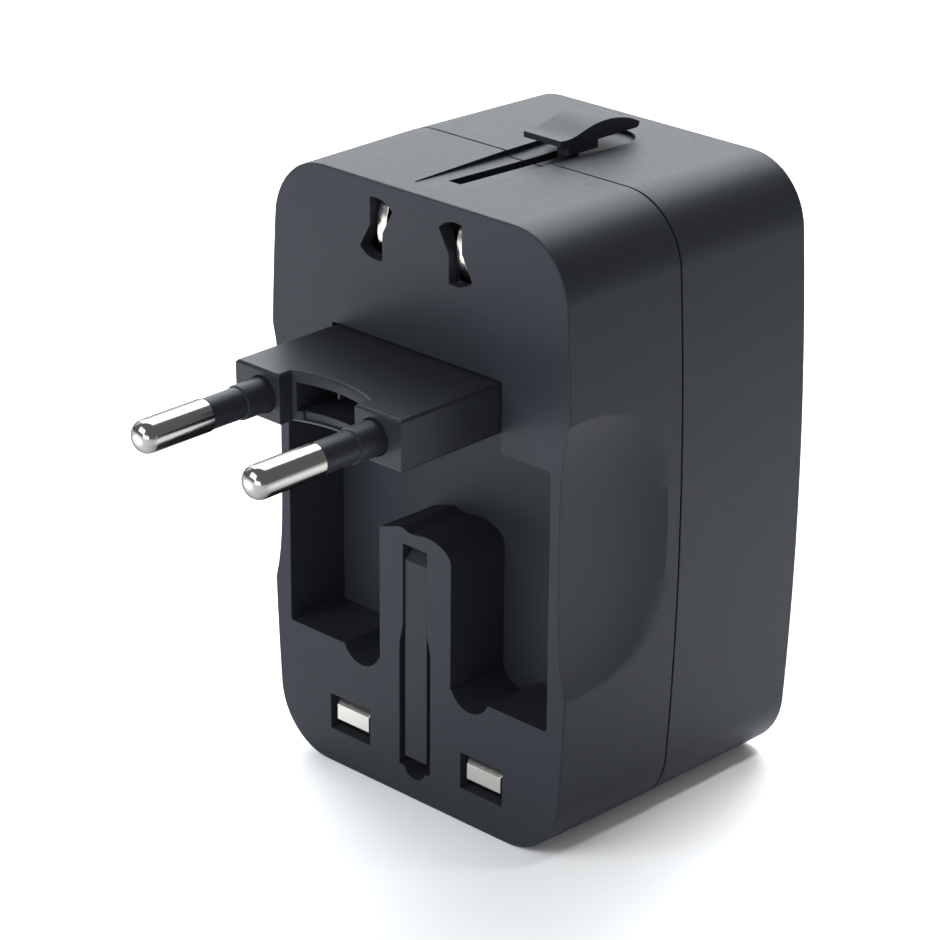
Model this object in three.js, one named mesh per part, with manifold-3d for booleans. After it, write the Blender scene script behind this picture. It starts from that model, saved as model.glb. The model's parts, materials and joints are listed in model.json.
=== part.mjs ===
// Universal travel adapter, in millimetres. X is across, Z is up. Y is measured from the plug face:
// the plugs point towards -Y and the socket faces +Y.
import * as THREE from 'three';
import { mergeVertices } from 'three/addons/utils/BufferGeometryUtils.js';
import Module from 'manifold-3d';

const wasm = await Module();
wasm.setup();

// ---------------------------------------------------------------- driving dimensions

const body = {
  width: 49.8,
  height: 76.9,
  depth: 40.6,
  seamY: 18.4,
  seamGap: 0.35,
  sideBulge: 1.7,
  cornerRadius: 8.4,
  draft: 0.3,
  wall: 2,
  frontWall: 1.8,
  frontBevel: 0.25,
  backBevel: 0.5,
};
const bodyMidZ = body.height / 2;

// The frame's origin sits on the bottom face, this far behind the plug face.
const originSetback = 4.5;

const recess = { halfWidth: 21.5, bottom: 16.85, top: 49.1, depth: 9, floorWall: 1.6, sideWall: 3 };
const tipNotch = { radius: 3.25, rise: 1.3 };
const column = {
  halfWidth: 5.93,
  leftTop: 34.25,
  leftRadius: 0.4,
  peakX: -2.55,
  peakTop: 35.17,
  dipX: -0.7,
  dipTop: 34.78,
  crownX: 2,
  crownTop: 35.06,
  rightDrop: 2.3,
};
const scoop = { depth: 1.7, reachY: 15.8, reachZ: 18, rings: 10, spokes: 48, overshoot: 1.15 };

// The opened plug hangs a touch below level.
const euHinge = { y: 5.3, z: 54.5, droop: Math.PI / 180 };
const euBlock = { halfWidth: 13.45, thickness: 6.2, reach: 20.7, bevel: 0.28 };
const euNotch = { halfWidth: 6.15, depth: 2, sag: 1.2 };
const euWindow = { left: -5.7, right: 5.8, back: -8.2, floor: 1.4, roof: 1.35 };
const euGroove = { left: -4.9, right: 5.5, depth: 0.3, lip: 0.45 };
const euRib = { halfWidth: 0.18, front: -17.3, height: 0.8 };
const euPin = { halfSpacing: 9.1, radius: 2, length: 18.6, metalLength: 9.8, coreRadius: 1.35, tail: 13.5 };
const euSleeve = { radius: 1.88, collarRadius: 2.1, collarLength: 3.8, bore: 1.45 };
const euSlotClearance = { side: 0.3, top: 0.15 };

const usRow = { z: 70.9, halfSpacing: 6.35, slotWidth: 2, slotLength: 7.5, twist: Math.PI / 6 };
const usBlade = { width: 6.3, thickness: 1.5, tipY: 0.9, nose: 1.5, rootY: 21 };
const usRotor = { hubRadius: 3.35, hubFront: 19.5, hubBack: 21.7, journalRadius: 1.8, journalBack: 27.6 };
const bladeCarriage = { halfWidth: 11, bottom: 66.2, top: 74.5, front: 22, back: 27 };

const ukRow = { z: 6.9, halfSpacing: 11.1, holeWidth: 6.9, holeHeight: 4.7 };
const ukPin = { width: 6.35, height: 4, tipY: 0.4, metalLength: 9, rootY: 29, coreWidth: 5.2, coreHeight: 2.9 };
const ukPinChamfer = { across: 0.45, up: 1, run: 1.1 };
const ukCrossbar = { halfWidth: 15.2, front: 28.7, back: 33, bottom: 3.7, top: 11 };
const ukArm = { halfWidth: 3.9, front: 20.6, top: 10.2 };

const earthPin = {
  halfWidth: 1.82,
  pivotY: 4.65,
  pivotZ: 28.6,
  face: 4.45,
  rear: 3.55,
  head: 4.1,
  headFlat: [-2.9, 1.6],
  shoulder: 2.45,
  reach: 23.9,
  axleRadius: 0.9,
};
const earthSlot = {
  top: 33.14,
  step: 22.6,
  flare: 2.4,
  bottom: 4.05,
  narrowHalf: 2.02,
  wideHalf: 2.6,
  depth: 9.2,
  reliefRadius: 5.2,
};

const topSlider = {
  channelFront: 2.9,
  channelBack: 34.8,
  frontHalf: 3.1,
  backHalf: 4.1,
  frontDepth: 0.35,
  depth: 0.75,
  levelFrom: 20,
  slotHalf: 0.95,
  slotFront: 6.2,
};
const topButton = { halfWidth: 2.95, front: 20.6, stemFront: 22, stemBack: 27, keelHalf: 0.65 };
const bottomSlider = {
  halfWidth: 4.2,
  front: 8.2,
  back: 36.4,
  depth: 1.7,
  slotHalf: 1.2,
  slotFront: 12,
  slotBack: 33.2,
};
const bottomPadSection = { halfWidth: 6.5, low: 1.2, high: 3.2 };
const thumbSlide = { front: 26.2, back: 35.8, inset: 0.4, ribs: 5, ribPitch: 1.5, ribFront: 28 };

const socket = { rowZ: 30.5, ukHalfSpacing: 11.1, euHalfSpacing: 9.5, auHalfSpacing: 6.9, earthRise: 22.2 };
const opening = {
  flatHalfWidth: 3.6,
  flatHalfHeight: 2.35,
  roundRadius: 2.6,
  bladeWidth: 2,
  bladeLength: 7.4,
  earthHalfWidth: 2.4,
  earthHalfHeight: 4.4,
  front: 30,
  back: 45,
};
const socketPad = {
  halfWidth: 18.2,
  bottom: 15.2,
  top: 62.6,
  radius: 4,
  front: 38.3,
  flangeFront: 37.2,
  flange: 1.6,
  border: 2.2,
  wellDepth: 0.8,
};
const shutter = { front: 34.9, back: 36.4, halfWidth: 16.8, bottom: 22.5, top: 45.5, travel: 8 };
const shutterWindow = { inner: 4.9, outer: 15, halfHeight: 3.8 };
// Each leaf is a list of [y, rise above the row], from its flared mouth to the base.
const socketLeaves = {
  leaf: [
    [34, 3.9],
    [31, 2.6],
    [26, 2.2],
    [19, 3.6],
    [17.2, 3.6],
  ],
  inner: 4.9,
  outer: 14.6,
  thickness: 0.5,
  tailHalf: 1.2,
  tailFront: 13.6,
};
const spring = { x: 0, y: 35.65, radius: 0.95, wire: 0.2, bottom: 14.6, top: 31.4, turns: 9 };

const post = { x: 18.8, lowZ: 9.2, highZ: 68, radius: 2.8, rearRadius: 3.2 };
const screw = { headRadius: 2.3, headLength: 1.8, shankRadius: 1.2, tipY: 9.4, headY: 22.4 };

const fuse = { y: 22, z: 60.5, barrelRadius: 2.1, capRadius: 2.5, halfLength: 10, capLength: 5 };
const clip = { inner: 6.2, outer: 9.4, gap: 0.12, thickness: 0.45, mouth: 0.9, footLength: 2.4, footHalf: 0.3 };
const busbar = { x: 9.1, y: 13, thickness: 0.6, halfWidth: 1.7 };

const framePlate = {
  halfWidth: 20,
  bottom: 17.6,
  top: 58.4,
  front: 14.2,
  back: 15.9,
  lowRib: 22.4,
  highRib: 37.4,
  ribHeight: 1.2,
  ribBack: 17,
  trough: { inner: 3.2, outer: 4.4, back: 33, bottom: 25.2, top: 36 },
};

const roundSteps = 28;
const cornerSteps = 6;

// ---------------------------------------------------------------- materials

function finish(color, roughness, metalness) {
  return new THREE.MeshStandardMaterial({ color, roughness, metalness });
}

const charcoal = () => finish(0x26272b, 0.62, 0);
const softBlack = () => finish(0x1d1e21, 0.5, 0);
const paleNylon = () => finish(0xc9c5b8, 0.55, 0);
const nickel = () => finish(0xd6d2ca, 0.18, 1);
const brass = () => finish(0xb8954a, 0.32, 1);
const steel = () => finish(0x9fa2a6, 0.3, 1);
const ceramic = () => finish(0xe9e6dd, 0.35, 0);

// ---------------------------------------------------------------- solids

// Turns a closed three.js geometry into a manifold solid.
function solidOf(geometry) {
  const bare = geometry.clone();
  bare.deleteAttribute('normal');
  bare.deleteAttribute('uv');
  const merged = mergeVertices(bare, 1e-4);
  const corners = merged.index.array;
  const kept = [];
  for (let i = 0; i < corners.length; i += 3) {
    const [a, b, c] = [corners[i], corners[i + 1], corners[i + 2]];
    if (a !== b && b !== c && a !== c) kept.push(a, b, c);
  }
  const vertProperties = new Float32Array(merged.attributes.position.array);
  const mesh = new wasm.Mesh({ numProp: 3, vertProperties, triVerts: new Uint32Array(kept) });
  return new wasm.Manifold(mesh);
}

// Turns a manifold solid back into a three.js geometry.
function geometryOf(solid) {
  const mesh = solid.getMesh();
  const geometry = new THREE.BufferGeometry();
  geometry.setAttribute('position', new THREE.BufferAttribute(mesh.vertProperties, mesh.numProp));
  geometry.setIndex(new THREE.BufferAttribute(mesh.triVerts, 1));
  geometry.computeVertexNormals();
  return geometry;
}

function join(first, ...others) {
  return others.reduce((sum, other) => sum.add(other), first);
}

function cut(base, ...tools) {
  return tools.reduce((rest, tool) => rest.subtract(tool), base);
}

// A solid with its copy mirrored across the middle plane.
function bothSides(make) {
  return make(-1).add(make(1));
}

function box(x0, x1, y0, y1, z0, z1) {
  const geometry = new THREE.BoxGeometry(x1 - x0, y1 - y0, z1 - z0);
  geometry.translate((x0 + x1) / 2, (y0 + y1) / 2, (z0 + z1) / 2);
  return solidOf(geometry);
}

function rodX(radius, x0, x1, y, z, steps = roundSteps) {
  const geometry = new THREE.CylinderGeometry(radius, radius, x1 - x0, steps);
  geometry.rotateZ(Math.PI / 2);
  geometry.translate((x0 + x1) / 2, y, z);
  return solidOf(geometry);
}

function rodY(radius, y0, y1, x, z, steps = roundSteps) {
  const geometry = new THREE.CylinderGeometry(radius, radius, y1 - y0, steps);
  geometry.translate(x, (y0 + y1) / 2, z);
  return solidOf(geometry);
}

// An outline drawn across (X) and up (Z), thickened from front to back along Y.
function slabY(outline, front, back, bevel = 0, bevelSegments = 1) {
  const geometry = new THREE.ExtrudeGeometry(outline, {
    depth: back - front - 2 * bevel,
    curveSegments: cornerSteps,
    bevelEnabled: bevel > 0,
    bevelThickness: bevel,
    bevelSize: bevel,
    bevelOffset: -bevel,
    bevelSegments,
  });
  geometry.rotateX(Math.PI / 2);
  geometry.translate(0, back - bevel, 0);
  return geometry;
}

// A side profile drawn in Y and Z, extruded along X.
function slabX(profile, x0, x1) {
  const geometry = new THREE.ExtrudeGeometry(profile, {
    depth: x1 - x0,
    curveSegments: cornerSteps,
    bevelEnabled: false,
  });
  const turn = new THREE.Matrix4().set(0, 0, 1, x0, 1, 0, 0, 0, 0, 1, 0, 0, 0, 0, 0, 1);
  geometry.applyMatrix4(turn);
  return solidOf(geometry);
}

// A plan drawn in X and Y, extruded up Z.
function slabZ(plan, z0, z1, bevel = 0) {
  const geometry = new THREE.ExtrudeGeometry(plan, {
    depth: z1 - z0 - 2 * bevel,
    curveSegments: cornerSteps,
    bevelEnabled: bevel > 0,
    bevelThickness: bevel,
    bevelSize: bevel,
    bevelOffset: -bevel,
    bevelSegments: 1,
  });
  geometry.translate(0, 0, z0 + bevel);
  return solidOf(geometry);
}

function polygon(points) {
  const shape = new THREE.Shape();
  shape.moveTo(...points[0]);
  for (const point of points.slice(1)) shape.lineTo(...point);
  return shape;
}

function roundedRectangle(x0, x1, z0, z1, radius) {
  const shape = new THREE.Shape();
  shape.moveTo(x0 + radius, z0);
  shape.lineTo(x1 - radius, z0);
  shape.absarc(x1 - radius, z0 + radius, radius, -Math.PI / 2, 0, false);
  shape.lineTo(x1, z1 - radius);
  shape.absarc(x1 - radius, z1 - radius, radius, 0, Math.PI / 2, false);
  shape.lineTo(x0 + radius, z1);
  shape.absarc(x0 + radius, z1 - radius, radius, Math.PI / 2, Math.PI, false);
  shape.lineTo(x0, z0 + radius);
  shape.absarc(x0 + radius, z0 + radius, radius, Math.PI, 1.5 * Math.PI, false);
  return shape;
}

// A strip of even thickness that follows a bent line in Y and Z.
function bentStrip(points, thickness, x0, x1) {
  const half = thickness / 2;
  const upper = [];
  const lower = [];
  points.forEach(([y, z], i) => {
    const before = points[Math.max(i - 1, 0)];
    const after = points[Math.min(i + 1, points.length - 1)];
    const into = new THREE.Vector2(y - before[0], z - before[1]);
    const out = new THREE.Vector2(after[0] - y, after[1] - z);
    if (i === 0) into.copy(out);
    if (i === points.length - 1) out.copy(into);
    into.normalize();
    out.normalize();
    const mid = into.clone().add(out).normalize();
    const miter = half / mid.dot(into);
    upper.push([y - mid.y * miter, z + mid.x * miter]);
    lower.unshift([y + mid.y * miter, z - mid.x * miter]);
  });
  return slabX(polygon([...upper, ...lower]), x0, x1);
}

function part(name, solid, material) {
  const mesh = new THREE.Mesh(geometryOf(solid), material);
  mesh.name = name;
  return mesh;
}

// ---------------------------------------------------------------- casing shapes

// The casing's outline: flat top and bottom, gently bowed sides, round corners.
function casingOutline(inset) {
  const w = body.width / 2 - inset;
  const h = bodyMidZ - inset;
  const r = body.cornerRadius - inset;
  const sideRadius = (h * h + body.sideBulge ** 2) / (2 * body.sideBulge);
  const sideX = w - sideRadius;
  const cornerZ = h - r;
  const cornerX = sideX + Math.sqrt((sideRadius - r) ** 2 - cornerZ ** 2);
  const meet = Math.atan2(cornerZ, cornerX - sideX);
  const shape = new THREE.Shape();
  shape.moveTo(-cornerX, -h);
  shape.lineTo(cornerX, -h);
  shape.absarc(cornerX, -cornerZ, r, -Math.PI / 2, -meet, false);
  shape.absarc(sideX, 0, sideRadius, -meet, meet, false);
  shape.absarc(cornerX, cornerZ, r, meet, Math.PI / 2, false);
  shape.lineTo(-cornerX, h);
  shape.absarc(-cornerX, cornerZ, r, Math.PI / 2, Math.PI - meet, false);
  shape.absarc(-sideX, 0, sideRadius, Math.PI - meet, Math.PI + meet, false);
  shape.absarc(-cornerX, -cornerZ, r, Math.PI + meet, 1.5 * Math.PI, false);
  return shape;
}

function casingSlab(inset, front, back) {
  const geometry = slabY(casingOutline(inset), front, back);
  geometry.translate(0, 0, bodyMidZ);
  return solidOf(geometry);
}

// Moulding draft: the section shrinks away from the seam, and the bottom stays flat.
function draftFromSeam(geometry, run) {
  const position = geometry.attributes.position;
  for (let i = 0; i < position.count; i++) {
    const away = Math.abs(position.getY(i) - body.seamY) / run;
    position.setX(i, position.getX(i) * (1 - (away * body.draft) / (body.width / 2)));
    position.setZ(i, position.getZ(i) * (1 - (away * body.draft) / body.height));
  }
  return geometry;
}

function plugSideBlock() {
  const geometry = slabY(casingOutline(0), 0, body.seamY + 2, body.frontBevel, 2);
  geometry.translate(0, 0, bodyMidZ);
  const block = solidOf(draftFromSeam(geometry, body.seamY));
  return cut(block, box(-40, 40, body.seamY - body.seamGap / 2, body.seamY + 10, -5, 90));
}

function socketSideBlock() {
  const front = body.seamY - 4;
  const geometry = slabY(casingOutline(0), front, body.depth, body.backBevel, 3);
  geometry.translate(0, 0, bodyMidZ);
  const block = solidOf(draftFromSeam(geometry, body.depth - body.seamY));
  return cut(block, box(-40, 40, front - 5, body.seamY + body.seamGap / 2, -5, 90));
}

// The finger scoop in a side wall: a squarish dish with a steep rim and an almost flat floor.
function fingerScoop(side) {
  const { depth, reachY, reachZ, rings, spokes, overshoot } = scoop;
  const clearOfWall = 3;
  const dish = Array.from({ length: rings + 1 }, (_, i) => {
    const r = overshoot * Math.sin((i / rings) * (Math.PI / 2));
    return new THREE.Vector2(r, depth * (r ** 4 - 1));
  });
  dish.push(new THREE.Vector2(overshoot, clearOfWall), new THREE.Vector2(0, clearOfWall));
  const geometry = new THREE.LatheGeometry(dish, spokes);
  geometry.rotateZ((-side * Math.PI) / 2);
  const position = geometry.attributes.position;
  for (let i = 0; i < position.count; i++) {
    const [x, y, z] = [position.getX(i), position.getY(i), position.getZ(i)];
    const reach = Math.hypot(y, z) || 1;
    const square = 1 / Math.cbrt(Math.abs(y / reach) ** 3 + Math.abs(z / reach) ** 3);
    position.setXYZ(i, x, y * square * reachY, z * square * reachZ);
  }
  geometry.translate(side * (body.width / 2 - body.draft), 0, bodyMidZ);
  return solidOf(geometry);
}

// The ramp that sinks into the top, with a round back end.
function topChannel() {
  const { channelFront, channelBack, frontHalf, backHalf, frontDepth, depth, levelFrom } = topSlider;
  const plan = new THREE.Shape();
  plan.moveTo(-frontHalf, channelFront);
  plan.lineTo(frontHalf, channelFront);
  plan.lineTo(backHalf, channelBack - backHalf);
  plan.absarc(0, channelBack - backHalf, backHalf, 0, Math.PI, false);
  const ramp = polygon([
    [channelFront, body.height + 2],
    [channelFront, body.height - frontDepth],
    [levelFrom, body.height - depth],
    [channelBack, body.height - depth],
    [channelBack, body.height + 2],
  ]);
  return slabZ(plan, body.height - 3, body.height + 3).intersect(slabX(ramp, -10, 10));
}

function topSlot() {
  const back = topButton.stemBack + 0.4;
  return box(-topSlider.slotHalf, topSlider.slotHalf, topSlider.slotFront, back, body.height - 6, body.height + 2);
}

function bottomChannel() {
  const { halfWidth, front, back, depth } = bottomSlider;
  return slabZ(roundedRectangle(-halfWidth, halfWidth, front, back, 1.5), -2, depth);
}

function bottomSlot() {
  const { slotHalf, slotFront, slotBack } = bottomSlider;
  return box(-slotHalf, slotHalf, slotFront, slotBack, 0, 5);
}

// The thickened floor the bottom channel and slot are cut into.
function bottomPad(front, back) {
  const { halfWidth, low, high } = bottomPadSection;
  return box(-halfWidth, halfWidth, front, back, low, high);
}

// ---------------------------------------------------------------- plug side shell

function recessHollow() {
  const { halfWidth, bottom, top, depth } = recess;
  const wide = solidOf(slabY(roundedRectangle(-halfWidth, halfWidth, bottom, top, 0.4), -2, depth));
  const slotHalf = euBlock.halfWidth + euSlotClearance.side;
  const slotTop = euHinge.z + euBlock.thickness / 2 + euSlotClearance.top;
  const upper = box(-slotHalf, slotHalf, -2, depth, top - 1, slotTop);
  const notch = (side) => rodY(tipNotch.radius, -2, depth, side * euPin.halfSpacing, bottom + tipNotch.rise);
  return join(wide, upper, bothSides(notch)).subtract(centreColumn());
}

// The column between the two plug arms. Its top climbs to a peak on the left, dips, and rolls
// over into the right side.
function centreColumn() {
  const c = column;
  const w = c.halfWidth;
  const rise = c.peakX - c.dipX;
  const shape = new THREE.Shape();
  shape.moveTo(-w, recess.bottom - 3);
  shape.lineTo(w, recess.bottom - 3);
  shape.lineTo(w, c.crownTop - c.rightDrop);
  const shoulderX = 0.55 * c.crownX + 0.45 * w;
  shape.bezierCurveTo(w, c.crownTop - 0.4 * c.rightDrop, shoulderX, c.crownTop, c.crownX, c.crownTop);
  shape.bezierCurveTo(c.crownX - 1, c.crownTop, c.dipX + 0.9, c.dipTop, c.dipX, c.dipTop);
  shape.bezierCurveTo(c.dipX + rise / 3, c.dipTop, c.peakX - rise / 3, c.peakTop, c.peakX, c.peakTop);
  shape.lineTo(-w + c.leftRadius, c.leftTop);
  shape.quadraticCurveTo(-w, c.leftTop, -w, c.leftTop - c.leftRadius);
  return solidOf(slabY(shape, -3, recess.depth + 0.5));
}

// Everything that backs the recess: its floor, its side walls and the earth pin's housing.
function recessLining() {
  const back = recess.depth + recess.floorWall;
  const hingeHalf = euBlock.halfWidth + recess.sideWall;
  const hingeTop = euHinge.z + euBlock.thickness / 2 + recess.sideWall - 0.7;
  const earthHalf = earthSlot.wideHalf + 1.4;
  const lower = box(-body.width, body.width, 1, back, recess.bottom - 3.2, recess.top + recess.floorWall);
  const upper = box(-hingeHalf, hingeHalf, 1, back, recess.top, hingeTop);
  const earthHousing = box(-earthHalf, earthHalf, 1, back + 0.4, earthSlot.bottom - 1.45, recess.bottom);
  return join(lower, upper, earthHousing).intersect(casingSlab(1, 0.5, body.seamY));
}

function earthPinSlot() {
  const { top, step, flare, bottom, narrowHalf, wideHalf, depth, reliefRadius } = earthSlot;
  const { axleRadius, pivotY, pivotZ } = earthPin;
  const outline = polygon([
    [-wideHalf, bottom],
    [wideHalf, bottom],
    [wideHalf, step - flare],
    [narrowHalf, step],
    [narrowHalf, top],
    [-narrowHalf, top],
    [-narrowHalf, step],
    [-wideHalf, step - flare],
  ]);
  const headRelief = rodX(reliefRadius, -narrowHalf, narrowHalf, pivotY, pivotZ, 40)
    .intersect(box(-narrowHalf, narrowHalf, 0, depth, step, pivotZ + reliefRadius));
  const nailNotch = rodY(1.9, -1, 3.2, 0, bottom + 0.6);
  const axleHole = rodX(axleRadius + 0.1, -4.9, 4.9, pivotY, pivotZ);
  return join(solidOf(slabY(outline, -1, depth)), headRelief, nailNotch, axleHole);
}

// One blade slot: the sweep of an upright blade that can lean inwards at its top.
function bladeSlot(side) {
  const { slotWidth, slotLength, twist, halfSpacing, z } = usRow;
  const upright = new THREE.BoxGeometry(slotWidth, 8, slotLength);
  const leaning = upright.clone();
  leaning.rotateY(-side * twist);
  const sweep = solidOf(upright).add(solidOf(leaning));
  return sweep.intersect(rodY(slotLength / 2, -3, 3, 0, 0)).translate([side * halfSpacing, 0, z]);
}

function ukHole(side) {
  const { halfSpacing, holeWidth, holeHeight, z } = ukRow;
  const x = side * halfSpacing;
  return box(x - holeWidth / 2, x + holeWidth / 2, -2, 4, z - holeHeight / 2, z + holeHeight / 2);
}

function screwPosts(radius, front, back) {
  const pair = (z) => bothSides((side) => rodY(radius, front, back, side * post.x, z));
  return pair(post.lowZ).add(pair(post.highZ));
}

function wiperWindow(side) {
  const x = side * euPin.halfSpacing;
  return box(x - 1.7, x + 1.7, recess.depth - 1, recess.depth + 3, euHinge.z - 3.7, euHinge.z + 3);
}

function plugSideShell() {
  const rim = body.seamY - body.seamGap / 2;
  const hollow = casingSlab(body.wall, body.frontWall, body.seamY + 5);
  const posts = screwPosts(post.radius, 1, rim).intersect(casingSlab(1, 0, body.seamY));
  const skin = join(plugSideBlock().subtract(hollow), recessLining(), posts, bottomPad(1, rim));
  const hingeHole = rodX(1.12, -15.9, 15.9, euHinge.y, euHinge.z);
  const openings = join(
    recessHollow(),
    earthPinSlot(),
    bothSides(bladeSlot),
    bothSides(ukHole),
    bothSides(wiperWindow),
    hingeHole,
    screwPosts(screw.shankRadius + 0.15, screw.tipY - 0.6, body.seamY + 1),
    bothSides(fingerScoop),
  );
  return cut(skin, openings, topChannel(), topSlot(), bottomChannel(), bottomSlot());
}

// ---------------------------------------------------------------- socket side shell

// A lip that tucks inside the plug side shell's rim.
function locatingLip() {
  const start = body.seamY - 1.4;
  const ring = casingSlab(body.wall + 0.3, start, body.seamY + 1.5);
  const root = casingSlab(1.2, body.seamY + body.seamGap / 2, body.seamY + 1.5);
  const bore = casingSlab(body.wall + 1.2, start - 1, body.seamY + 3);
  const clearOfPosts = screwPosts(post.radius + 0.4, start - 1, body.seamY + body.seamGap / 2);
  const clearOfPad = box(-7, 7, start - 1, body.seamY + body.seamGap / 2, 0, 8);
  const clearOfBlades = box(-12, 12, start - 1, body.seamY + 3, 66, 74.9);
  return cut(ring.add(root), bore, clearOfPosts, clearOfPad, clearOfBlades);
}

function socketSideShell() {
  const start = body.seamY + body.seamGap / 2;
  const hollow = casingSlab(body.wall, body.seamY - 5, body.depth - body.wall);
  const posts = screwPosts(post.rearRadius, start, body.depth - 1).intersect(casingSlab(1, start, body.depth));
  const shelf = box(-4.2, 4.2, spring.y - 2, body.depth - 1, 1, spring.bottom - 0.2);
  const pad = bottomPad(start, body.depth - 1);
  const skin = join(socketSideBlock().subtract(hollow), posts, shelf, pad, locatingLip());
  const gap = 0.3;
  const { halfWidth, bottom, top, radius } = socketPad;
  const outline = roundedRectangle(-halfWidth - gap, halfWidth + gap, bottom - gap, top + gap, radius);
  const window = solidOf(slabY(outline, spring.y + 2.2, body.depth + 2));
  const screwHoles = join(
    screwPosts(screw.shankRadius + 0.3, body.seamY - 1, 30),
    screwPosts(screw.headRadius + 0.4, screw.headY - 0.1, body.depth + 2),
  );
  return cut(skin, window, screwHoles, topChannel(), topSlot(), bottomChannel(), bottomSlot());
}

// ---------------------------------------------------------------- socket parts

// One universal pole opening: a flat pin, a round pin, an upright blade and a leaning blade share it.
function poleOpening(side) {
  const { flatHalfWidth: w, flatHalfHeight: h, roundRadius, bladeWidth, bladeLength, front, back } = opening;
  const flat = roundedRectangle(-w, w, -h, h, 0.4);
  const flatPin = solidOf(slabY(flat, front, back)).translate([side * socket.ukHalfSpacing, 0, socket.rowZ]);
  const roundPin = rodY(roundRadius, front, back, side * socket.euHalfSpacing, socket.rowZ);
  const blade = new THREE.BoxGeometry(bladeWidth, back - front, bladeLength);
  blade.translate(0, (front + back) / 2, 0);
  const leaning = blade.clone();
  leaning.rotateY(-side * usRow.twist);
  const uprightBlade = solidOf(blade).translate([side * usRow.halfSpacing, 0, socket.rowZ]);
  const leaningBlade = solidOf(leaning).translate([side * socket.auHalfSpacing, 0, socket.rowZ]);
  return join(flatPin, roundPin, uprightBlade, leaningBlade);
}

function socketFace() {
  const { halfWidth, bottom, top, radius, front, flangeFront, flange, border, wellDepth } = socketPad;
  const padOutline = roundedRectangle(-halfWidth, halfWidth, bottom, top, radius);
  const pad = solidOf(slabY(padOutline, flangeFront, body.depth, 0.5));
  const flangeOutline = roundedRectangle(-halfWidth - flange, halfWidth + flange, bottom, top, 1);
  const rim = solidOf(slabY(flangeOutline, flangeFront, front));
  const earthZ = socket.rowZ + socket.earthRise;
  const { earthHalfWidth: w, earthHalfHeight: h } = opening;
  const earthOpening = box(-w, w, opening.front, opening.back, earthZ - h, earthZ + h);
  const well = roundedRectangle(-halfWidth + border, halfWidth - border, bottom + border, top - border, radius);
  const wellCut = solidOf(slabY(well, body.depth - wellDepth, body.depth + 2));
  return cut(join(pad, rim), bothSides(poleOpening), earthOpening, wellCut);
}

// The sliding gate behind the openings, with its two windows parked above them.
function safetyShutter() {
  const { front, back, halfWidth, bottom, top } = shutter;
  const gate = solidOf(slabY(roundedRectangle(-halfWidth, halfWidth, bottom, top, 1), front, back));
  const window = (side) => {
    const { inner, outer, halfHeight } = shutterWindow;
    const [x0, x1] = [side * inner, side * outer].sort((a, b) => a - b);
    const middle = socket.rowZ + shutter.travel;
    return box(x0, x1, front - 1, back + 1, middle - halfHeight, middle + halfHeight);
  };
  const springPocket = box(-1.5, 1.5, front - 1, back + 1, bottom - 1, spring.top + 0.2);
  return cut(gate, bothSides(window), springPocket);
}

function shutterSpring() {
  const { radius, wire, bottom, top, turns } = spring;
  const coils = new THREE.CatmullRomCurve3(
    Array.from({ length: turns * 12 + 1 }, (_, i) => {
      const angle = (i / 12) * 2 * Math.PI;
      const z = bottom + wire + ((top - bottom - 2 * wire) * i) / (turns * 12);
      return new THREE.Vector3(radius * Math.cos(angle), radius * Math.sin(angle), z);
    }),
  );
  const section = new THREE.Shape();
  section.absarc(0, 0, wire, 0, 2 * Math.PI, false);
  const geometry = new THREE.ExtrudeGeometry(section, { steps: turns * 12, extrudePath: coils, curveSegments: 5 });
  geometry.translate(spring.x, spring.y, 0);
  return solidOf(geometry);
}

// One pole's spring contact: two leaves that close on a pin, slotted for an upright blade.
function socketContact(side) {
  const { inner, outer, thickness, tailHalf, tailFront } = socketLeaves;
  const upperLeaf = socketLeaves.leaf.map(([y, rise]) => [y, socket.rowZ + rise]);
  const lowerLeaf = socketLeaves.leaf.map(([y, rise]) => [y, socket.rowZ - rise]).reverse();
  const [x0, x1] = [side * inner, side * outer].sort((a, b) => a - b);
  const leaves = bentStrip([...upperLeaf, ...lowerLeaf], thickness, x0, x1);
  const bladeX = side * usRow.halfSpacing;
  const bladeGap = box(bladeX - 0.85, bladeX + 0.85, 21, 36, socket.rowZ - 6, socket.rowZ + 6);
  const tailX = side * busbar.x;
  const tail = box(tailX - tailHalf, tailX + tailHalf, tailFront, 17.1, socket.rowZ - 1.5, socket.rowZ + 1.5);
  return leaves.subtract(bladeGap).add(tail);
}

// A pole's long copper-alloy strip, with a foot at the bottom and a finger at the top.
function poleBusbar(side) {
  const x = side * busbar.x;
  const line = [
    [16.4, 12.4],
    [15.2, 12.2],
    [busbar.y, 14.2],
    [busbar.y, 60.6],
    [11.6, 62.2],
    [11, 64.6],
  ];
  return bentStrip(line, busbar.thickness, x - busbar.halfWidth, x + busbar.halfWidth);
}

// The spring finger that reaches through the recess floor to the folding plug.
function euWiper(side) {
  const x = side * euPin.halfSpacing;
  const line = [
    [12.4, 44],
    [12.2, 49.6],
    [9.35, euHinge.z - 1.6],
    [9.0, euHinge.z],
    [9.35, euHinge.z + 1.4],
    [11.1, euHinge.z + 2.2],
  ];
  return bentStrip(line, 0.4, x - 1.1, x + 1.1);
}

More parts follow.
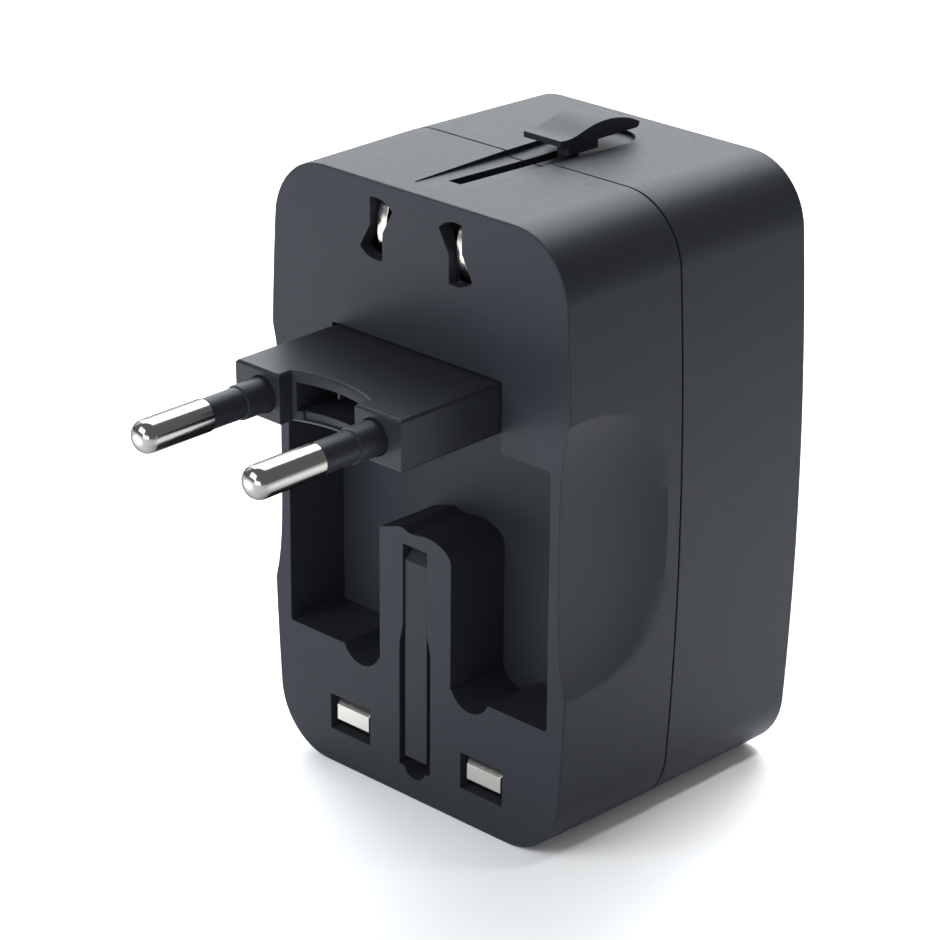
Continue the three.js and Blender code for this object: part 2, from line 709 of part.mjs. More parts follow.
// The plate behind the recess: two stiffening ribs, and a trough that keeps the poles apart.
function innerFrame() {
  const { halfWidth: w, bottom, top, front, back, ribHeight, ribBack, trough } = framePlate;
  const plate = solidOf(slabY(roundedRectangle(-w, w, bottom, top, 2), front, back));
  const tailWindow = (side) => {
    const [x, half] = [side * busbar.x, socketLeaves.tailHalf + 0.4];
    return box(x - half, x + half, front - 1, ribBack, socket.rowZ - 1.9, socket.rowZ + 1.9);
  };
  const root = back - 0.4;
  const rib = (z) => box(-w, w, root, ribBack, z, z + ribHeight);
  const wall = (side) => {
    const [x0, x1] = [side * trough.inner, side * trough.outer].sort((a, b) => a - b);
    return box(x0, x1, root, trough.back, trough.bottom, trough.top);
  };
  const web = box(-trough.inner - 0.4, trough.inner + 0.4, root, ribBack, trough.bottom, trough.top);
  const ribs = rib(framePlate.lowRib).add(rib(framePlate.highRib));
  return cut(join(plate, ribs, bothSides(wall), web), bothSides(tailWindow));
}

// ---------------------------------------------------------------- fuse

function fuseBarrel() {
  const reach = fuse.halfLength - fuse.capLength;
  return join(
    rodX(fuse.barrelRadius + 0.3, -reach + 0.15, reach - 0.15, fuse.y, fuse.z, 24),
    rodX(fuse.barrelRadius - 0.3, -fuse.halfLength + 0.8, fuse.halfLength - 0.8, fuse.y, fuse.z, 24),
  );
}

function fuseCap(side) {
  const { halfLength, capLength, capRadius, barrelRadius, y, z } = fuse;
  const along = (radius, from, to) => {
    const [x0, x1] = [side * from, side * to].sort((a, b) => a - b);
    return rodX(radius, x0, x1, y, z, 24);
  };
  const mouth = halfLength - capLength;
  return along(capRadius, mouth, halfLength).subtract(along(barrelRadius, mouth - 1, halfLength - 0.5));
}

// A C-shaped spring clip open towards the socket, on a flat foot.
function fuseClip(side) {
  const inner = fuse.capRadius + clip.gap;
  const outer = inner + clip.thickness;
  const { mouth, footLength, footHalf } = clip;
  const jaw = new THREE.Shape();
  jaw.absarc(fuse.y, fuse.z, outer, mouth, 2 * Math.PI - mouth, false);
  jaw.absarc(fuse.y, fuse.z, inner, 2 * Math.PI - mouth, mouth, true);
  const [x0, x1] = [side * clip.inner, side * clip.outer].sort((a, b) => a - b);
  const back = fuse.y - outer;
  const foot = box(x0, x1, back - footLength, back + 0.3, fuse.z - footHalf, fuse.z + footHalf);
  return slabX(jaw, x0, x1).add(foot);
}

// ---------------------------------------------------------------- folding two-pin plug (from its hinge)

// The shallow curve of the notch between the block's arms, at some depth behind their ends.
function euNotchArc(plan, depth) {
  const { halfWidth, sag } = euNotch;
  const radius = (halfWidth ** 2 + sag ** 2) / (2 * sag);
  const sweep = Math.asin(halfWidth / radius);
  const centreY = -euBlock.reach + depth + sag - radius;
  plan.absarc(0, centreY, radius, Math.PI / 2 + sweep, Math.PI / 2 - sweep, true);
}

// Plan of the plug block: two arms either side of the notch.
function euPlan() {
  const { halfWidth: w, reach } = euBlock;
  const heel = euBlock.thickness / 2;
  const plan = new THREE.Shape();
  plan.moveTo(-w, -reach);
  plan.lineTo(-euNotch.halfWidth, -reach);
  plan.lineTo(-euNotch.halfWidth, -reach + euNotch.depth);
  euNotchArc(plan, euNotch.depth);
  plan.lineTo(euNotch.halfWidth, -reach);
  plan.lineTo(w, -reach);
  plan.lineTo(w, heel);
  plan.lineTo(-w, heel);
  return plan;
}

// The step in the notch's face, above a thin lip along its bottom edge.
function euStep() {
  const { left, right, depth, lip } = euGroove;
  const heel = euBlock.thickness / 2;
  const plan = new THREE.Shape();
  plan.moveTo(-euNotch.halfWidth, -euBlock.reach - 1);
  euNotchArc(plan, euNotch.depth + depth);
  plan.lineTo(euNotch.halfWidth, -euBlock.reach - 1);
  const face = slabZ(plan, -heel + lip, -heel + euWindow.floor + 0.1);
  return face.intersect(box(left, right, -euBlock.reach - 1, 0, -heel, heel));
}

function euPlugBody() {
  const heel = euBlock.thickness / 2;
  const { reach } = euBlock;
  const slab = slabZ(euPlan(), -heel, heel, euBlock.bevel);
  const side = new THREE.Shape();
  side.moveTo(-reach - 1, -heel);
  side.lineTo(0, -heel);
  side.absarc(0, 0, heel, -Math.PI / 2, Math.PI / 2, false);
  side.lineTo(-reach - 1, heel);
  const rounded = slab.intersect(slabX(side, -20, 20));
  const { left, right, back, floor, roof } = euWindow;
  const window = box(left, right, -reach + 0.5, back, -heel + floor, heel - roof);
  const ribLow = heel - roof - euRib.height;
  const rib = box(-euRib.halfWidth, euRib.halfWidth, euRib.front, back + 0.5, ribLow, heel - 0.5);
  const pinBore = (s) => rodY(euPin.coreRadius + 0.1, -reach - 1, -4.4, s * euPin.halfSpacing, 0, 24);
  const collarSeat = (s) => rodY(euSleeve.collarRadius + 0.12, -25, -reach + 1, s * euPin.halfSpacing, 0, 24);
  const strapPocket = (s) => {
    const x = s * euPin.halfSpacing;
    return box(x - 1.6, x + 1.6, -4.6, heel + 1, -2.3, 2.3);
  };
  const axleBore = rodX(1.2, -20, 20, 0, 0, 24);
  const bores = join(bothSides(pinBore), bothSides(collarSeat), bothSides(strapPocket), axleBore);
  return cut(rounded, window, euStep(), bores).add(rib);
}

// A solid turned about the Y axis from a list of [radius, y] points.
function turned(points, steps = roundSteps) {
  return solidOf(new THREE.LatheGeometry(points.map(([r, y]) => new THREE.Vector2(r, y)), steps));
}

function euPinMetal() {
  const tip = -euBlock.reach - euPin.length;
  const shoulder = tip + euPin.metalLength;
  const dome = 1.5;
  const nose = [0, 1, 2, 3, 4].map((i) => {
    const angle = (i / 4) * (Math.PI / 2);
    return [0.5 + (euPin.radius - 0.5) * Math.sin(angle), tip + dome * (1 - Math.cos(angle))];
  });
  const tailEnd = tip + euPin.length + euPin.tail + 2.2;
  const outline = [
    [0, tip],
    ...nose,
    [euPin.radius, shoulder],
    [euPin.coreRadius, shoulder],
    [euPin.coreRadius, tailEnd],
    [0, tailEnd],
  ];
  return turned(outline);
}

function euPinSleeve() {
  const front = -euBlock.reach - euPin.length + euPin.metalLength + 0.05;
  const collarFront = -euBlock.reach - euSleeve.collarLength;
  const back = -euBlock.reach + 0.85;
  return turned([
    [euSleeve.bore, front],
    [euSleeve.radius, front],
    [euSleeve.radius, collarFront],
    [euSleeve.collarRadius - 0.1, collarFront + 0.02],
    [euSleeve.collarRadius, collarFront + 0.2],
    [euSleeve.collarRadius, back],
    [euSleeve.bore, back],
    [euSleeve.bore, front],
  ]);
}

// The strap that carries current from a pin's tail, over the axle, to the heel.
function euStrap() {
  const line = [
    [-4.1, 0],
    [-3.2, 1.7],
    [1.6, 1.7],
    [2.55, 0.9],
    [2.55, -1],
  ];
  return bentStrip(line, 0.45, -1.1, 1.1);
}

// ---------------------------------------------------------------- sliding blade plug

function usCarriage() {
  const { halfWidth, bottom, top, front, back } = bladeCarriage;
  const plate = solidOf(slabY(roundedRectangle(-halfWidth, halfWidth, bottom, top, 1), front, back));
  const bore = (side) => rodY(usRotor.journalRadius + 0.08, front - 1, back + 1, side * usRow.halfSpacing, usRow.z);
  const socketHalf = topButton.keelHalf + 0.3;
  const buttonSocket = box(-socketHalf, socketHalf, front + 0.6, back - 0.6, 70, top + 5);
  const lightening = box(-2.2, 2.2, front - 1, back + 1, bottom - 1, 68.6);
  return cut(plate, bothSides(bore), buttonSocket, lightening);
}

// The thumb button: an S-curved plate on a stem, with a keel that drops into the carriage.
function usSliderButton() {
  const top = body.height;
  const curve = new THREE.Shape();
  const { front, stemFront, stemBack } = topButton;
  curve.moveTo(front, top + 1.25);
  curve.lineTo(stemFront, top + 1);
  curve.lineTo(stemFront, top - 0.1);
  curve.lineTo(stemBack, top - 0.1);
  curve.lineTo(stemBack, top + 0.9);
  curve.lineTo(33.7, top + 0.9);
  curve.quadraticCurveTo(34.2, top + 1, 34.15, top + 1.6);
  curve.quadraticCurveTo(31.6, top + 3, 28, top + 2.98);
  curve.bezierCurveTo(25, top + 2.9, 23.6, top + 1.75, 21.5, top + 1.88);
  curve.lineTo(front, top + 1.97);
  const plate = slabX(curve, -topButton.halfWidth, topButton.halfWidth);
  const reliefPlan = polygon([
    [-4, 20],
    [1.6, 20],
    [1.6, stemFront - 0.5],
    [-0.7, 24.6],
    [-4, 24.6],
  ]);
  const relief = slabZ(reliefPlan, top - 2, top + 1);
  const keel = box(-topButton.keelHalf, topButton.keelHalf, 23.9, 26.2, 70.6, top + 1);
  return plate.subtract(relief).add(keel);
}

// Blade rotor: a slotted hub on a journal, drawn about the blade's own centre line.
function usRotorHub() {
  const { hubRadius, hubFront, hubBack, journalRadius, journalBack } = usRotor;
  const hub = rodY(hubRadius, hubFront, hubBack, 0, 0);
  const journal = rodY(journalRadius, hubBack - 0.5, journalBack, 0, 0);
  const groove = rodY(journalRadius + 1, 27.35, 28, 0, 0).subtract(rodY(journalRadius - 0.45, 27, 28, 0, 0));
  const bladeSeat = box(-0.9, 0.9, hubFront - 1, usBlade.rootY + 0.15, -hubRadius - 1, hubRadius + 1);
  return cut(join(hub, journal), groove, bladeSeat);
}

function usBladeSolid() {
  const { width, thickness, tipY, nose, rootY } = usBlade;
  const outline = new THREE.Shape();
  const half = width / 2;
  outline.moveTo(rootY, -half);
  outline.lineTo(rootY, half);
  outline.lineTo(tipY + nose, half);
  outline.quadraticCurveTo(tipY, half, tipY, 0);
  outline.quadraticCurveTo(tipY, -half, tipY + nose, -half);
  return slabX(outline, -thickness / 2, thickness / 2);
}

function retainingRing() {
  return cut(rodY(2.7, 27.4, 27.95, 0, 0), rodY(1.5, 27, 29, 0, 0), box(-0.8, 0.8, 27, 29, -4, 0));
}

// ---------------------------------------------------------------- sliding three-pin plug

function ukPinMetal(pole) {
  const { width, height, tipY, metalLength, rootY, coreWidth, coreHeight } = ukPin;
  const [w, h] = [width / 2, height / 2];
  const { across, up, run } = ukPinChamfer;
  const shoulder = tipY + metalLength;
  const plan = polygon([
    [-w, shoulder],
    [-w, tipY + run],
    [-w + across, tipY],
    [w - across, tipY],
    [w, tipY + run],
    [w, shoulder],
  ]);
  const side = polygon([
    [shoulder, h],
    [tipY + run, h],
    [tipY, h - up],
    [tipY, up - h],
    [tipY + run, -h],
    [shoulder, -h],
  ]);
  const nose = slabZ(plan, -h, h).intersect(slabX(side, -w, w));
  const core = box(-coreWidth / 2, coreWidth / 2, shoulder - 0.5, rootY + 2.6, -coreHeight / 2, coreHeight / 2);
  return nose.add(core).translate([pole * ukRow.halfSpacing, 0, ukRow.z]);
}

function ukPinSleeve(side) {
  const { width, height, tipY, metalLength, coreWidth, coreHeight } = ukPin;
  const front = tipY + metalLength + 0.1;
  const tube = box(-width / 2, width / 2, front, front + 10.2, -height / 2, height / 2);
  const [w, h] = [coreWidth / 2 + 0.12, coreHeight / 2 + 0.12];
  const bore = box(-w, w, front - 1, 40, -h, h);
  return cut(tube, bore).translate([side * ukRow.halfSpacing, 0, ukRow.z]);
}

function ukCarriage() {
  const { halfWidth, front, back, bottom, top } = ukCrossbar;
  const bar = box(-halfWidth, halfWidth, front, back, bottom, top);
  const arm = (side) => {
    const x = side * ukRow.halfSpacing;
    return box(x - ukArm.halfWidth, x + ukArm.halfWidth, ukArm.front, front + 1, bottom, ukArm.top);
  };
  const pinSeat = (side) => {
    const x = side * ukRow.halfSpacing;
    const [w, h] = [ukPin.coreWidth / 2 + 0.2, ukPin.coreHeight / 2 + 0.2];
    return box(x - w, x + w, ukArm.front - 1, ukPin.rootY + 2.9, ukRow.z - h, ukRow.z + h);
  };
  const stemSocket = box(-1.15, 1.15, 29.6, 32.2, bottom - 1, 8);
  return cut(join(bar, bothSides(arm)), bothSides(pinSeat), stemSocket);
}

// A flush thumb slide with five grip ribs, and a stem up into the carriage.
function ukSliderButton() {
  const { front, back, inset, ribPitch, ribFront } = thumbSlide;
  const padHalf = bottomSlider.halfWidth - inset;
  const pad = slabZ(roundedRectangle(-padHalf, padHalf, front, back, 1.2), 0.75, bottomSlider.depth - 0.25);
  const ribs = Array.from({ length: thumbSlide.ribs }, (_, i) => {
    const y = ribFront + i * ribPitch;
    return box(0.6 - padHalf, padHalf - 0.6, y - 0.35, y + 0.35, 0.2, 1);
  });
  const stem = box(-0.9, 0.9, 29.85, 31.95, 1, 7.2);
  return join(pad, stem, ...ribs);
}

// ---------------------------------------------------------------- folding earth pin (from its pivot)

function ukEarthPin() {
  const { face, rear, head, headFlat, shoulder, reach, halfWidth: w } = earthPin;
  const profile = polygon([
    [rear, shoulder],
    [headFlat[1], head],
    [headFlat[0], head],
    [-face, shoulder],
    [-face, -reach + 0.7],
    [-face + 0.7, -reach],
    [rear - 1.6, -reach],
    [rear, -reach + 1.6],
  ]);
  const bar = slabX(profile, -w, w);
  const skin = 1.3;
  const corePocket = box(-w - 1, w - skin, -face + skin, rear - skin, -reach + 3, -6.5);
  return cut(bar, rodX(earthPin.axleRadius + 0.08, -5, 5, 0, 0, 24), corePocket);
}

// ---------------------------------------------------------------- fasteners

function caseScrew() {
  const shank = rodY(screw.shankRadius, screw.tipY, screw.headY + 0.5, 0, 0, 18);
  const head = rodY(screw.headRadius, screw.headY, screw.headY + screw.headLength, 0, 0, 24);
  const bar = () => new THREE.BoxGeometry(0.7, 2, 2.8);
  const recessHead = [0, 1].map((turn) => {
    const slot = bar();
    slot.rotateY((turn * Math.PI) / 2);
    slot.translate(0, screw.headY + screw.headLength, 0);
    return solidOf(slot);
  });
  return cut(join(shank, head), ...recessHead);
}

// ---------------------------------------------------------------- assembly

// Left and right are as seen from in front of the plug face.
const places = [
  ['left', -1],
  ['right', 1],
];
const poles = [
  ['live', -1],
  ['neutral', 1],
];

function casingGroup() {
  const group = new THREE.Group();
  group.add(
    part('plug_side_shell', plugSideShell(), charcoal()),
    part('socket_side_shell', socketSideShell(), charcoal()),
    part('socket_face', socketFace(), softBlack()),
    part('inner_frame', innerFrame(), paleNylon()),
    part('eu_hinge_axle', rodX(1.05, -15.7, 15.7, euHinge.y, euHinge.z, 24), steel()),
    part('earth_pin_axle', rodX(earthPin.axleRadius, -4.7, 4.7, earthPin.pivotY, earthPin.pivotZ, 24), steel()),
    part('fuse_barrel', fuseBarrel(), ceramic()),
  );
  for (const [pole, side] of poles) {
    group.add(
      part(`${pole}_socket_contact`, socketContact(side), brass()),
      part(`${pole}_busbar`, poleBusbar(side), brass()),
      part(`${pole}_eu_wiper`, euWiper(side), brass()),
    );
  }
  for (const [place, side] of places) {
    group.add(
      part(`fuse_cap_${place}`, fuseCap(side), nickel()),
      part(`fuse_clip_${place}`, fuseClip(side), brass()),
    );
  }
  for (const [place, x, z] of [
    ['lower_left', -post.x, post.lowZ],
    ['lower_right', post.x, post.lowZ],
    ['upper_left', -post.x, post.highZ],
    ['upper_right', post.x, post.highZ],
  ]) {
    const mesh = part(`case_screw_${place}`, caseScrew(), steel());
    mesh.position.set(x, 0, z);
    group.add(mesh);
  }
  return group;
}

function shutterGroup() {
  const group = new THREE.Group();
  group.add(part('safety_shutter', safetyShutter(), paleNylon()));
  group.add(part('shutter_spring', shutterSpring(), steel()));
  return group;
}

function euPlugGroup() {
  const group = new THREE.Group();
  group.position.set(0, euHinge.y, euHinge.z);
  group.rotation.x = euHinge.droop;
  group.add(part('eu_plug_body', euPlugBody(), softBlack()));
  for (const [place, side] of places) {
    const pin = part(`eu_pin_${place}`, euPinMetal(), nickel());
    const sleeve = part(`eu_pin_sleeve_${place}`, euPinSleeve(), softBlack());
    const strap = part(`eu_strap_${place}`, euStrap(), brass());
    for (const mesh of [pin, sleeve, strap]) mesh.position.x = side * euPin.halfSpacing;
    group.add(pin, sleeve, strap);
  }
  return group;
}

function usPlugGroup() {
  const group = new THREE.Group();
  group.add(part('us_carriage', usCarriage(), paleNylon()));
  group.add(part('us_slider_button', usSliderButton(), charcoal()));
  for (const [place, side] of places) {
    const rotor = new THREE.Group();
    rotor.position.set(side * usRow.halfSpacing, 0, usRow.z);
    rotor.add(part(`us_blade_${place}`, usBladeSolid(), nickel()));
    rotor.add(part(`us_rotor_${place}`, usRotorHub(), softBlack()));
    rotor.add(part(`us_rotor_ring_${place}`, retainingRing(), steel()));
    group.add(rotor);
  }
  return group;
}

function ukPlugGroup() {
  const group = new THREE.Group();
  group.add(part('uk_carriage', ukCarriage(), paleNylon()));
  group.add(part('uk_slider_button', ukSliderButton(), charcoal()));
  for (const [pole, side] of poles) {
    group.add(part(`uk_pin_${pole}`, ukPinMetal(side), nickel()));
    group.add(part(`uk_pin_sleeve_${pole}`, ukPinSleeve(side), softBlack()));
  }
  return group;
}

function earthPinGroup() {
  const group = new THREE.Group();
  group.position.set(0, earthPin.pivotY, earthPin.pivotZ);
  group.add(part('uk_earth_pin', ukEarthPin(), softBlack()));
  return group;
}

const adapter = new THREE.Group();
adapter.add(casingGroup(), shutterGroup(), euPlugGroup(), usPlugGroup(), ukPlugGroup(), earthPinGroup());
adapter.position.y = -originSetback;

export default adapter;
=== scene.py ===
import json
import math

import bpy
from mathutils import Matrix, Vector


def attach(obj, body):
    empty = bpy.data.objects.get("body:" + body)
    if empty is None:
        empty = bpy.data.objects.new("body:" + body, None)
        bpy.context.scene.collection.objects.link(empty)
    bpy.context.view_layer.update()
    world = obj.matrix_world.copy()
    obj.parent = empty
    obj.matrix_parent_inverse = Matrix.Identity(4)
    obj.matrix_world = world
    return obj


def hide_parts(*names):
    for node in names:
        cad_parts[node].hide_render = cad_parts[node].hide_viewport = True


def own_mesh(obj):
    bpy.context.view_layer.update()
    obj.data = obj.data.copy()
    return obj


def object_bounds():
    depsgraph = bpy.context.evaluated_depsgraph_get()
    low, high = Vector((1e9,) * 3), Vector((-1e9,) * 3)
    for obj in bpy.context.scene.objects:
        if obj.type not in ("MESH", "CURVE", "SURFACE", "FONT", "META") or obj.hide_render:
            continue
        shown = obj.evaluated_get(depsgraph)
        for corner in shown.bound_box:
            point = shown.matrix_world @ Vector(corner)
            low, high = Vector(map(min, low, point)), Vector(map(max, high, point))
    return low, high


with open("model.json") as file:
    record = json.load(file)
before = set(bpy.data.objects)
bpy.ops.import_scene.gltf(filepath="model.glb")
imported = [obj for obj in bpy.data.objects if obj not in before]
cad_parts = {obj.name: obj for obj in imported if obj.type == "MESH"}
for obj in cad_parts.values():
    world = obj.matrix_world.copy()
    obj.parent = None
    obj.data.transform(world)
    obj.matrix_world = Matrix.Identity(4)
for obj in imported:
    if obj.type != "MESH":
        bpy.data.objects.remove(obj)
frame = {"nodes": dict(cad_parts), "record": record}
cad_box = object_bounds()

MM = 0.001
SMOOTH_BELOW = math.radians(32)
FLAT_WITHIN = math.radians(0.4)
WELD_WITHIN = 0.002 * MM


# ---------------------------------------------------------------- node helpers

class Paint:
    """A new material with a Principled shader, and short ways to add nodes to it."""

    def __init__(self, name, color, roughness, metallic=0.0, specular=0.5, tint=(1.0, 1.0, 1.0)):
        self.material = bpy.data.materials.new(name)
        self.material.use_nodes = True
        self.tree = self.material.node_tree
        self.shader = self.tree.nodes["Principled BSDF"]
        self.set("Base Color", (*color, 1.0))
        self.set("Roughness", roughness)
        self.set("Metallic", metallic)
        self.set("Specular IOR Level", specular)
        self.set("Specular Tint", (*tint, 1.0))
        self.place = self.node("ShaderNodeTexCoord").outputs["Object"]

    def set(self, socket, value):
        self.shader.inputs[socket].default_value = value

    def node(self, kind, **values):
        made = self.tree.nodes.new(kind)
        for key, value in values.items():
            if hasattr(made, key):
                setattr(made, key, value)
            else:
                made.inputs[key.replace("_", " ")].default_value = value
        return made

    def link(self, output, socket):
        self.tree.links.new(output, socket)

    def stretched(self, scale):
        mapping = self.node("ShaderNodeMapping", Scale=scale)
        self.link(self.place, mapping.inputs["Vector"])
        return mapping.outputs["Vector"]

    def noise(self, scale, detail=2.0, vector=None):
        made = self.node("ShaderNodeTexNoise", Scale=scale, Detail=detail)
        self.link(vector or self.place, made.inputs["Vector"])
        return made.outputs["Fac"]

    def vary_roughness(self, value, low, high):
        made = self.node("ShaderNodeMapRange", To_Min=low, To_Max=high)
        self.link(value, made.inputs["Value"])
        self.link(made.outputs["Result"], self.shader.inputs["Roughness"])

    def bumps(self, height, depth, edge=0.12 * MM):
        """Surface grain over softly broken edges of the given radius."""
        broken = self.node("ShaderNodeBevel", samples=6, Radius=edge)
        made = self.node("ShaderNodeBump", Distance=depth)
        self.link(height, made.inputs["Height"])
        self.link(broken.outputs["Normal"], made.inputs["Normal"])
        self.link(made.outputs["Normal"], self.shader.inputs["Normal"])


# ---------------------------------------------------------------- materials

# Highlights of the plastics lean to blue. The nickel's dark edge tint is painted shade: it darkens the
# metal where it is seen edge-on, outlining the pins.
COOL = (0.86, 0.92, 1.0)
PAINTED_EDGE_SHADE = (0.25, 0.25, 0.26)
PLASTIC_SPECULAR = 0.12


def textured_plastic():
    """Charcoal casing plastic with a fine spark-eroded grain."""
    paint = Paint("casing_plastic", (0.0165, 0.018, 0.0222), 0.46, specular=PLASTIC_SPECULAR, tint=COOL)
    paint.vary_roughness(paint.noise(900), 0.42, 0.5)
    paint.bumps(paint.noise(7000, 3), 0.006 * MM, 0.15 * MM)
    return paint.material


def moulded_plastic():
    """Smoother black plastic of the plug block, sleeves and socket plate."""
    paint = Paint("moulded_plastic", (0.0155, 0.0168, 0.0207), 0.4, specular=PLASTIC_SPECULAR, tint=COOL)
    paint.vary_roughness(paint.noise(700), 0.34, 0.44)
    paint.bumps(paint.noise(4500, 2), 0.004 * MM, 0.2 * MM)
    return paint.material


def nylon():
    paint = Paint("nylon", (0.56, 0.53, 0.45), 0.5)
    paint.vary_roughness(paint.noise(500), 0.42, 0.56)
    paint.bumps(paint.noise(2500), 0.004 * MM)
    return paint.material


def shaded_turned_nickel():
    """Bright nickel plate over a turned pin: faint rings round the Y axis. Its base colour is painted
    darker than the blade nickel's, as painted shade for the dim surroundings that the pins reflect, and
    its dark edge tint is painted shade too.
    """
    paint = Paint("shaded_turned_nickel", (0.29, 0.284, 0.276), 0.16, 1.0, tint=PAINTED_EDGE_SHADE)
    rings = paint.noise(60, 3, paint.stretched((1, 130, 1)))
    paint.vary_roughness(rings, 0.12, 0.2)
    paint.bumps(rings, 0.001 * MM, 0.1 * MM)
    return paint.material


def rolled_nickel():
    """Nickel plate over stamped strip: fine lines along the Y axis. Its dark edge tint is painted shade
    where it is seen edge-on.
    """
    paint = Paint("rolled_nickel", (0.5, 0.485, 0.455), 0.2, 1.0, tint=PAINTED_EDGE_SHADE)
    lines = paint.noise(60, 3, paint.stretched((60, 1, 60)))
    paint.vary_roughness(lines, 0.15, 0.28)
    paint.bumps(lines, 0.002 * MM, 0.15 * MM)
    return paint.material


def brass():
    paint = Paint("brass", (0.72, 0.5, 0.2), 0.3, 1.0)
    lines = paint.noise(300, 2, paint.stretched((8, 1, 1)))
    paint.vary_roughness(lines, 0.24, 0.4)
    paint.bumps(lines, 0.003 * MM)
    return paint.material


def steel():
    paint = Paint("steel", (0.56, 0.57, 0.6), 0.28, 1.0)
    speckle = paint.noise(1500, 2)
    paint.vary_roughness(speckle, 0.22, 0.38)
    paint.bumps(speckle, 0.003 * MM)
    return paint.material


def ceramic():
    paint = Paint("ceramic", (0.82, 0.8, 0.74), 0.3)
    paint.vary_roughness(paint.noise(400), 0.22, 0.36)
    paint.bumps(paint.noise(1200), 0.004 * MM)
    return paint.material


# ---------------------------------------------------------------- CAD nodes

FINISHES = {
    "casing_black": textured_plastic(),
    "pin_black": moulded_plastic(),
    "nylon": nylon(),
    "nickel": rolled_nickel(),
    "contact_brass": brass(),
    "steel": steel(),
    "fuse_ceramic": ceramic(),
}
TURNED = shaded_turned_nickel()
ROUND_PINS = ("eu_pin_left", "eu_pin_right")


def smooth_group():
    """Geometry nodes that weld the facets and smooth every edge that turns less than SMOOTH_BELOW."""
    group = bpy.data.node_groups.new("smooth_facets", "GeometryNodeTree")
    group.interface.new_socket("Geometry", in_out="INPUT", socket_type="NodeSocketGeometry")
    group.interface.new_socket("Geometry", in_out="OUTPUT", socket_type="NodeSocketGeometry")
    start = group.nodes.new("NodeGroupInput")
    end = group.nodes.new("NodeGroupOutput")
    weld = group.nodes.new("GeometryNodeMergeByDistance")
    weld.inputs["Distance"].default_value = WELD_WITHIN
    faces = group.nodes.new("GeometryNodeSetShadeSmooth")
    faces.domain = "FACE"
    edges = group.nodes.new("GeometryNodeSetShadeSmooth")
    edges.domain = "EDGE"
    angle = group.nodes.new("GeometryNodeInputMeshEdgeAngle")
    flat = group.nodes.new("FunctionNodeCompare")
    flat.data_type = "FLOAT"
    flat.operation = "LESS_THAN"
    flat.inputs["B"].default_value = SMOOTH_BELOW
    links = group.links
    links.new(start.outputs[0], weld.inputs["Geometry"])
    links.new(weld.outputs["Geometry"], faces.inputs["Geometry"])
    links.new(faces.outputs["Geometry"], edges.inputs["Geometry"])
    links.new(angle.outputs["Unsigned Angle"], flat.inputs["A"])
    links.new(flat.outputs["Result"], edges.inputs["Shade Smooth"])
    links.new(edges.outputs["Geometry"], end.inputs[0])
    return group


SMOOTH = smooth_group()


def refine(piece):
    """Welds and smooths a CAD node's facets and merges its flat ones, all in modifiers."""
    smooth = piece.modifiers.new("smooth", "NODES")
    smooth.node_group = SMOOTH
    flatten = piece.modifiers.new("flatten", "DECIMATE")
    flatten.decimate_type = "DISSOLVE"
    flatten.angle_limit = FLAT_WITHIN
    weighted = piece.modifiers.new("weighted", "WEIGHTED_NORMAL")
    weighted.mode = "FACE_AREA"
    weighted.weight = 80
    weighted.keep_sharp = True


def dress_cad_nodes():
    """Gives each CAD node the finish of its material slot; the round pins are the turned ones."""
    slots = {row["node"]: row["material_slot"] for row in frame["record"]["subparts"]}
    for name, piece in frame["nodes"].items():
        finish = TURNED if name in ROUND_PINS else FINISHES[slots[name]]
        piece.data.materials.clear()
        piece.data.materials.append(finish)
        refine(piece)


def press_spring():
    """Stands in for the shutter's spring: a refined copy of its mesh attached to the casing, with the
    CAD node hidden.
    """
    spring = bpy.data.objects.new("pressed_spring", frame["nodes"]["shutter_spring"].data.copy())
    bpy.context.scene.collection.objects.link(spring)
    refine(spring)
    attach(spring, "casing")
    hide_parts("shutter_spring")
    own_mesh(spring)


dress_cad_nodes()
press_spring()


# ---------------------------------------------------------------- studio

# The viewer's place round the object: degrees, metres, and a lens in millimetres on a 36 mm sensor.
TARGET = Vector((0.0, 0.0046, 0.0404))
VIEW_AZIMUTH = 44.36
VIEW_ELEVATION = 22.58
VIEW_DISTANCE = 0.4092
VIEW_ROLL = 0.45
LENS = 133.1
SENSOR = 36.0

SOFTBOX_COLOR = (0.93, 0.965, 1.0)
WHITE = (1.0, 1.0, 1.0, 1.0)
FLOOR_SIZE = 6.0
FLOOR_GAP = 0.02 * MM


def outward(azimuth, elevation):
    """Unit vector from the object towards a viewer; azimuth 0 is in front of the plug face."""
    a, e = math.radians(azimuth), math.radians(elevation)
    return Vector((math.sin(a) * math.cos(e), -math.cos(a) * math.cos(e), math.sin(e)))


def add_camera():
    data = bpy.data.cameras.new("camera")
    data.lens = LENS
    data.sensor_width = SENSOR
    data.clip_start = 0.01
    camera = bpy.data.objects.new("camera", data)
    bpy.context.scene.collection.objects.link(camera)
    back = outward(VIEW_AZIMUTH, VIEW_ELEVATION)
    camera.location = TARGET + back * VIEW_DISTANCE
    turn = back.to_track_quat("Z", "Y").to_matrix()
    roll = Matrix.Rotation(math.radians(VIEW_ROLL), 3, "Z")
    camera.rotation_euler = (turn @ roll).to_euler()
    bpy.context.scene.camera = camera


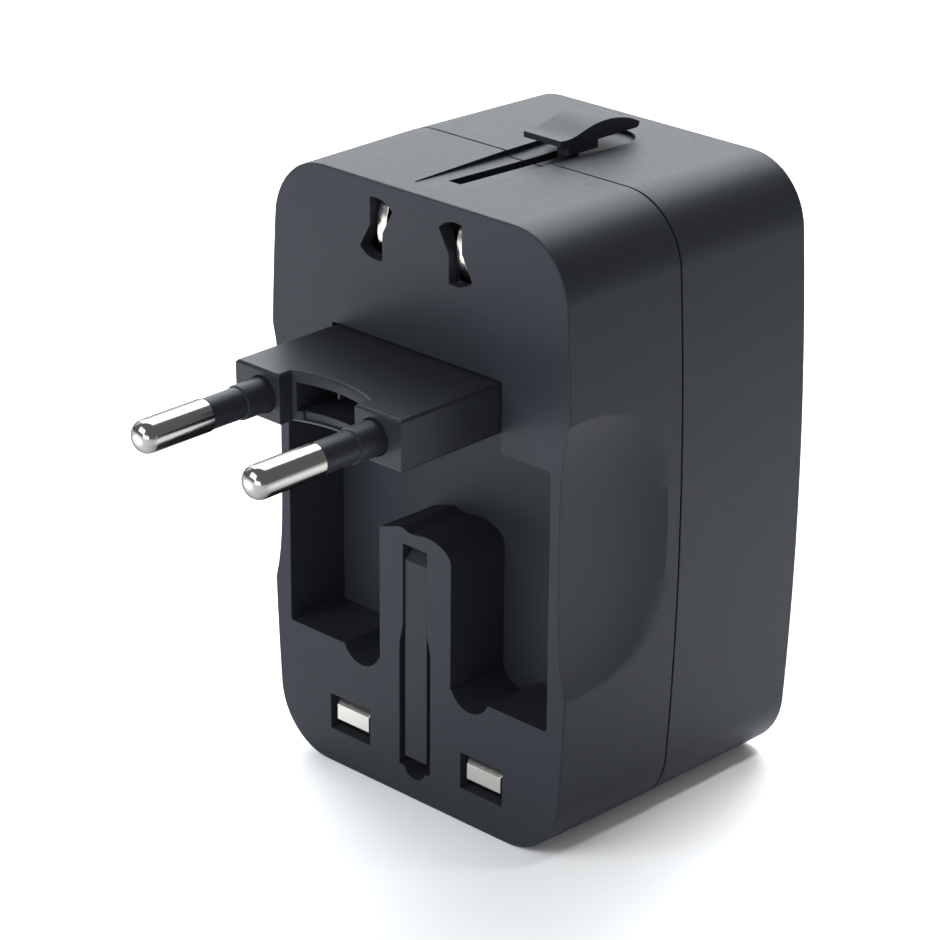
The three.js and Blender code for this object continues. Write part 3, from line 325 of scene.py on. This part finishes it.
def add_softbox(name, azimuth, elevation, distance, width, height, power):
    """A rectangular light that looks at the object from the given direction."""
    data = bpy.data.lights.new(name, "AREA")
    data.shape = "RECTANGLE"
    data.size = width
    data.size_y = height
    data.energy = power
    data.color = SOFTBOX_COLOR
    light = bpy.data.objects.new(name, data)
    light.visible_camera = False
    bpy.context.scene.collection.objects.link(light)
    away = outward(azimuth, elevation)
    light.location = TARGET + away * distance
    light.rotation_euler = away.to_track_quat("Z", "Y").to_euler()


def add_pool(name, azimuth, elevation, distance, aim, spread, power):
    """A soft spotlight that lights a patch of the floor beside the object."""
    data = bpy.data.lights.new(name, "SPOT")
    data.energy = power
    data.spot_size = math.radians(spread)
    data.spot_blend = 1.0
    data.shadow_soft_size = 0.05
    light = bpy.data.objects.new(name, data)
    bpy.context.scene.collection.objects.link(light)
    light.location = TARGET + outward(azimuth, elevation) * distance
    light.rotation_euler = (light.location - Vector(aim)).to_track_quat("Z", "Y").to_euler()


def add_world(strength):
    world = bpy.data.worlds.new("studio")
    world.use_nodes = True
    background = world.node_tree.nodes["Background"]
    background.inputs["Color"].default_value = WHITE
    background.inputs["Strength"].default_value = strength
    bpy.context.scene.world = world


def add_floor():
    """A pale paper floor just under the object."""
    bpy.ops.mesh.primitive_plane_add(size=FLOOR_SIZE, location=(0, 0, cad_box[0].z - FLOOR_GAP))
    floor = bpy.context.object
    floor.name = "floor"
    paint = Paint("floor_paper", (0.96, 0.96, 0.96), 0.8)
    paint.bumps(paint.noise(400), 0.02 * MM)
    floor.data.materials.append(paint.material)


add_camera()
add_floor()
add_world(0.3)
add_softbox("backdrop", 224, 25, 0.9, 1.0, 0.5, 6.8)
add_softbox("rear_overhead", 224, 52, 0.9, 1.0, 0.5, 13.0)
add_softbox("rear_left", 262, 25, 0.9, 0.6, 0.5, 1.6)
add_softbox("front_low", 20, 6, 1.0, 0.8, 0.3, 4.0)
add_softbox("front_left", -15, 32, 0.9, 0.6, 0.5, 6.2)
add_pool("right_floor", 130, 60, 0.6, (0.1, 0.08, 0), 20, 18)
add_pool("left_floor", -30, 60, 0.6, (-0.11, -0.15, 0), 14, 105)
bpy.context.scene.view_settings.view_transform = "Standard"
